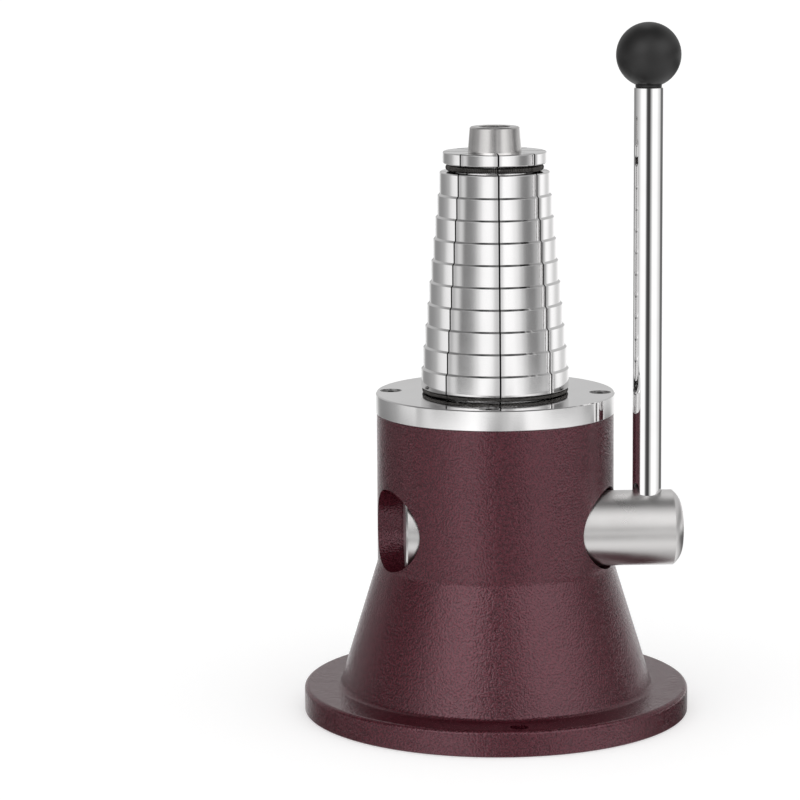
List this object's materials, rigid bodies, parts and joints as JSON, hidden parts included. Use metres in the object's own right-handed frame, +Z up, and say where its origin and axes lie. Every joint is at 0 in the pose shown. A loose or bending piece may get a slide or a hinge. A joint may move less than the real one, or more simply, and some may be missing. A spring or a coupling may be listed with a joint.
{
  "type": "ring stretcher",
  "caption": "Bench ring stretcher: stepped mandrel of radial jaws spread by a tapered wedge, lifted by a rack, pinion shaft and hand lever, on a flanged hollow casting.",
  "frame": {"origin": "on the bench under the mandrel's axis, at the centre of the flange's underside", "axes": "+Z up along the mandrel's axis; +X along the pinion shaft towards the hand lever; -Y towards the operator"},
  "size_m": [0.184, 0.184, 0.3291],
  "materials": {
    "hammertone_casting": "hammertone enamel on cast iron",
    "polished_steel": "mirror polished",
    "machined_steel": "fine turned",
    "ground_steel": "satin ground",
    "blackened_steel": "black oxide",
    "oiled_spring": "oiled spring wire",
    "black_knob": "moulded, half matt",
    "brass_insert": "turned"
  },
  "bodies": {
    "base": {"base_casting": "hammertone_casting", "guide_block": "machined_steel", "block_dowel": "machined_steel", "top_plate": "polished_steel", "plate_screws": "blackened_steel", "shaft_retaining_screw": "blackened_steel", "upper_garter_spring": "oiled_spring", "lower_garter_spring": "oiled_spring"},
    "lever": {"pinion_shaft": "machined_steel", "lever_rod": "polished_steel", "rod_set_screw": "blackened_steel", "lever_knob": "black_knob", "knob_insert": "brass_insert"},
    "ram": {"ram_rack": "machined_steel", "wedge_cone": "ground_steel", "wedge_bolt": "blackened_steel"},
    "jaw_1": {"jaw_1": "polished_steel"},
    "jaw_2": {"jaw_2": "polished_steel"},
    "jaw_3": {"jaw_3": "polished_steel"},
    "jaw_4": {"jaw_4": "polished_steel"},
    "jaw_5": {"jaw_5": "polished_steel"},
    "jaw_6": {"jaw_6": "polished_steel"},
    "jaw_7": {"jaw_7": "polished_steel"},
    "jaw_8": {"jaw_8": "polished_steel"}
  },
  "joints": [
    {"name": "lever_turn", "type": "hinge", "parent": "base", "child": "lever", "pos_m": [0, -0.0219, 0.0911], "axis": [1, 0, 0], "range_deg": [0, 75]},
    {"name": "ram_lift", "type": "slide", "parent": "base", "child": "ram", "axis": [0, 0, 1], "range_m": [0, 0.0198]},
    {"name": "jaw_1_slide", "type": "slide", "parent": "base", "child": "jaw_1", "axis": [0.3827, -0.9239, 0], "range_m": [0, 0.0018], "deforming": ["upper_garter_spring", "lower_garter_spring"]},
    {"name": "jaw_2_slide", "type": "slide", "parent": "base", "child": "jaw_2", "axis": [0.9239, -0.3827, 0], "range_m": [0, 0.0018]},
    {"name": "jaw_3_slide", "type": "slide", "parent": "base", "child": "jaw_3", "axis": [0.9239, 0.3827, 0], "range_m": [0, 0.0018]},
    {"name": "jaw_4_slide", "type": "slide", "parent": "base", "child": "jaw_4", "axis": [0.3827, 0.9239, 0], "range_m": [0, 0.0018]},
    {"name": "jaw_5_slide", "type": "slide", "parent": "base", "child": "jaw_5", "axis": [-0.3827, 0.9239, 0], "range_m": [0, 0.0018]},
    {"name": "jaw_6_slide", "type": "slide", "parent": "base", "child": "jaw_6", "axis": [-0.9239, 0.3827, 0], "range_m": [0, 0.0018]},
    {"name": "jaw_7_slide", "type": "slide", "parent": "base", "child": "jaw_7", "axis": [-0.9239, -0.3827, 0], "range_m": [0, 0.0018]},
    {"name": "jaw_8_slide", "type": "slide", "parent": "base", "child": "jaw_8", "axis": [-0.3827, -0.9239, 0], "range_m": [0, 0.0018]}
  ],
  "couplings": [
    {"joint": "ram_lift", "follows": "lever_turn", "m_per_rad": 0.015},
    {"joint": "jaw_1_slide", "follows": "lever_turn", "m_per_rad": 0.001353},
    {"joint": "jaw_2_slide", "follows": "lever_turn", "m_per_rad": 0.001353},
    {"joint": "jaw_3_slide", "follows": "lever_turn", "m_per_rad": 0.001353},
    {"joint": "jaw_4_slide", "follows": "lever_turn", "m_per_rad": 0.001353},
    {"joint": "jaw_5_slide", "follows": "lever_turn", "m_per_rad": 0.001353},
    {"joint": "jaw_6_slide", "follows": "lever_turn", "m_per_rad": 0.001353},
    {"joint": "jaw_7_slide", "follows": "lever_turn", "m_per_rad": 0.001353},
    {"joint": "jaw_8_slide", "follows": "lever_turn", "m_per_rad": 0.001353}
  ]
}
